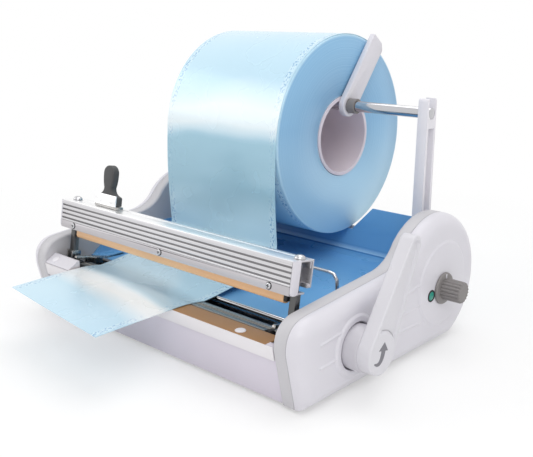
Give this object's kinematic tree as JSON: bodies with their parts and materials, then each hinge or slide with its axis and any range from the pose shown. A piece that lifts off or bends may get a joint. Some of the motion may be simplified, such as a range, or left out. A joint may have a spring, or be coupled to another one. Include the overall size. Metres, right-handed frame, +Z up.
{
  "type": "dental pouch sealer",
  "caption": "Bench heat sealer for sterilisation film: side lever, leaning press bar with sliding cutter, hot jaw, blue tray and reel on a rod between uprights",
  "frame": {"origin": "centre of the part's bounding box in X and Y, at the underside of the feet", "axes": "+X to the lever and timer side, +Y to the back where the reel stands, +Z up"},
  "size_m": [0.443, 0.4696, 0.3204],
  "materials": {
    "casing": "smooth moulded near-white, faint lavender",
    "inner_casing": "smooth moulded near-white",
    "tray": "blue painted sheet",
    "aluminium": "extruded, fine lines along the length",
    "steel": "plain plated",
    "chrome": "polished",
    "rubber": "dull black",
    "strip": "smooth orange-beige silicone",
    "deck": "brown sheet",
    "heater": "woven tape over the heating band",
    "grip": "dark grey",
    "knob": "warm grey",
    "lamp": "green lens",
    "film": "pale blue sheen",
    "roll": "edges of wound film",
    "core": "wound paper tube",
    "board": "green board",
    "winding": "lacquered winding"
  },
  "bodies": {
    "base": {"left_outer_casing": "casing", "left_inner_casing": "inner_casing", "guide_post_left": "steel", "jaw_clamp_left": "rubber", "foot_front_left": "rubber", "foot_rear_left": "rubber", "upright_left": "casing", "right_outer_casing": "casing", "right_inner_casing": "inner_casing", "guide_post_right": "steel", "jaw_clamp_right": "rubber", "foot_front_right": "rubber", "foot_rear_right": "rubber", "upright_right": "casing", "front_beam": "casing", "front_lip": "casing", "deck_end_cap": "casing", "base_pan": "casing", "back_panel": "casing", "deck_plate": "deck", "tray": "tray", "lower_jaw": "aluminium", "heater_strip": "heater", "jaw_support": "steel", "timer_control": "steel", "edge_rod": "chrome", "wire_guide": "chrome", "reel_rod": "chrome", "power_lamp": "lamp", "film_web": "film", "transformer": "winding", "control_board": "board", "seal_switch": "rubber", "mains_inlet": "rubber", "stop_bush_left": "knob"},
    "lever": {"lever": "casing", "cross_shaft": "steel", "crank_left": "steel", "crank_right": "steel"},
    "press_bar": {"upper_bar": "aluminium", "clamp_rail": "aluminium", "bar_end_cap_left": "casing", "bar_end_cap_right": "casing", "seal_strip": "strip", "strip_block_left": "rubber", "strip_block_right": "rubber", "leg_left": "steel", "leg_right": "steel", "bar_nut_left": "chrome", "bar_nut_right": "chrome"},
    "cutter": {"cutter_handle": "grip", "cutter_shoe": "steel", "cutter_plate": "aluminium", "cutter_blade": "chrome"},
    "timer_knob": {"timer_knob": "knob"},
    "reel": {"reel_core": "core", "film_roll": "roll"},
    "stop_slider": {"stop_bush_right": "knob"},
    "stop_arm_right": {"stop_arm_right": "casing"},
    "stop_arm_left": {"stop_arm_left": "casing"}
  },
  "joints": [
    {"name": "lever_pivot", "type": "hinge", "parent": "base", "child": "lever", "pos_m": [-0.014, -0.06325, 0.048], "axis": [1, 0, 0], "range_deg": [0, 28.6], "stiffness_Nm_per_rad": 3, "springref_deg": -28.65},
    {"name": "bar_slide", "type": "slide", "parent": "base", "child": "press_bar", "axis": [0, -0.1582, -0.9874], "range_m": [0, 0.026]},
    {"name": "cutter_slide", "type": "slide", "parent": "press_bar", "child": "cutter", "axis": [1, 0, 0], "range_m": [-0.025, 0.25]},
    {"name": "timer_turn", "type": "hinge", "parent": "base", "child": "timer_knob", "pos_m": [0.192, 0.08725, 0.066], "axis": [1, 0, 0], "range_deg": [0, 270]},
    {"name": "reel_spin", "type": "hinge", "parent": "base", "child": "reel", "pos_m": [-0.055, 0.11975, 0.2053], "axis": [1, 0, 0], "continuous": true},
    {"name": "stop_slide", "type": "slide", "parent": "base", "child": "stop_slider", "axis": [1, 0, 0], "range_m": [0, 0.08]},
    {"name": "stop_turn_right", "type": "hinge", "parent": "stop_slider", "child": "stop_arm_right", "pos_m": [0.038, 0.11975, 0.241], "axis": [1, 0, 0], "range_deg": [-50, 100]},
    {"name": "stop_turn_left", "type": "hinge", "parent": "base", "child": "stop_arm_left", "pos_m": [-0.148, 0.11975, 0.241], "axis": [1, 0, 0], "range_deg": [-50, 100]}
  ],
  "couplings": [
    {"joint": "bar_slide", "follows": "lever_pivot", "m_per_rad": 0.05184}
  ]
}
